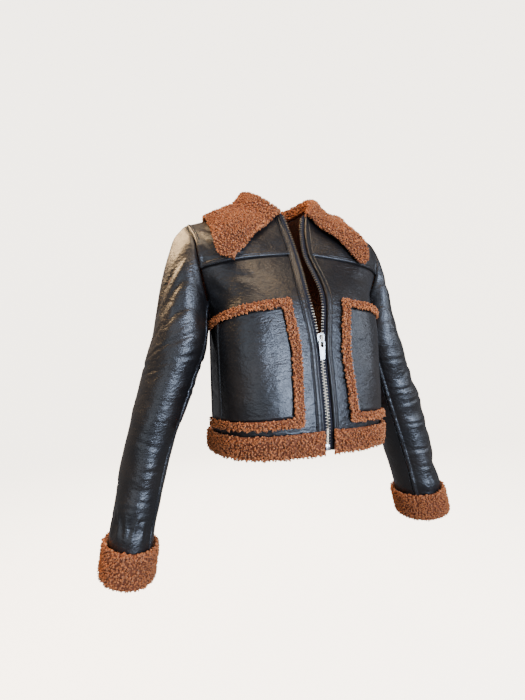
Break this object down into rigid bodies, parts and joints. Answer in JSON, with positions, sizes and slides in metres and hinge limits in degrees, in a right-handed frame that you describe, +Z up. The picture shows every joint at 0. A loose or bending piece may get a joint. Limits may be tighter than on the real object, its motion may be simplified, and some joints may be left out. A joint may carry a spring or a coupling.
{
  "type": "faux leather jacket",
  "caption": "Cropped hip-length jacket in dark faux leather with sherpa collar, cuffs, hem band and pocket edges, worn with its front zip half open.",
  "frame": {"origin": "midway between the two points where the shoulder seams meet the neckline, where the wearer's shoulders carry the jacket", "axes": "+X to the wearer's left, -Y out of the chest, +Z up; the jacket is upright as worn"},
  "size_m": [0.7341, 0.3075, 0.7044],
  "materials": {
    "faux_leather": "semi-gloss, fine grain",
    "sherpa": "curly pile",
    "zip_tape": "woven",
    "zip_teeth": "light polished",
    "slider_metal": "polished"
  },
  "bodies": {
    "jacket": {"front_left": "faux_leather", "front_right": "faux_leather", "yoke_left": "faux_leather", "yoke_right": "faux_leather", "back": "faux_leather", "sleeve_top_left": "faux_leather", "sleeve_top_right": "faux_leather", "sleeve_under_left": "faux_leather", "sleeve_under_right": "faux_leather", "placket_left": "faux_leather", "placket_right": "faux_leather", "pocket_patch_left": "faux_leather", "pocket_patch_right": "faux_leather", "pocket_welt_left": "faux_leather", "pocket_welt_right": "faux_leather", "collar": "sherpa", "hem_band": "sherpa", "cuff_left": "sherpa", "cuff_right": "sherpa", "pocket_trim_left": "sherpa", "pocket_trim_right": "sherpa", "zip_tape_left": "zip_tape", "zip_tape_right": "zip_tape", "zip_teeth_left": "zip_teeth", "zip_teeth_right": "zip_teeth", "zip_box": "zip_teeth", "zip_slider": "slider_metal"},
    "pull_tab": {"zip_pull_tab": "slider_metal"}
  },
  "joints": [
    {"name": "pull_tab_hinge", "type": "hinge", "parent": "jacket", "child": "pull_tab", "pos_m": [0, -0.14522, -0.27608], "axis": [-1, 0, 0], "range_deg": [0, 165]}
  ]
}
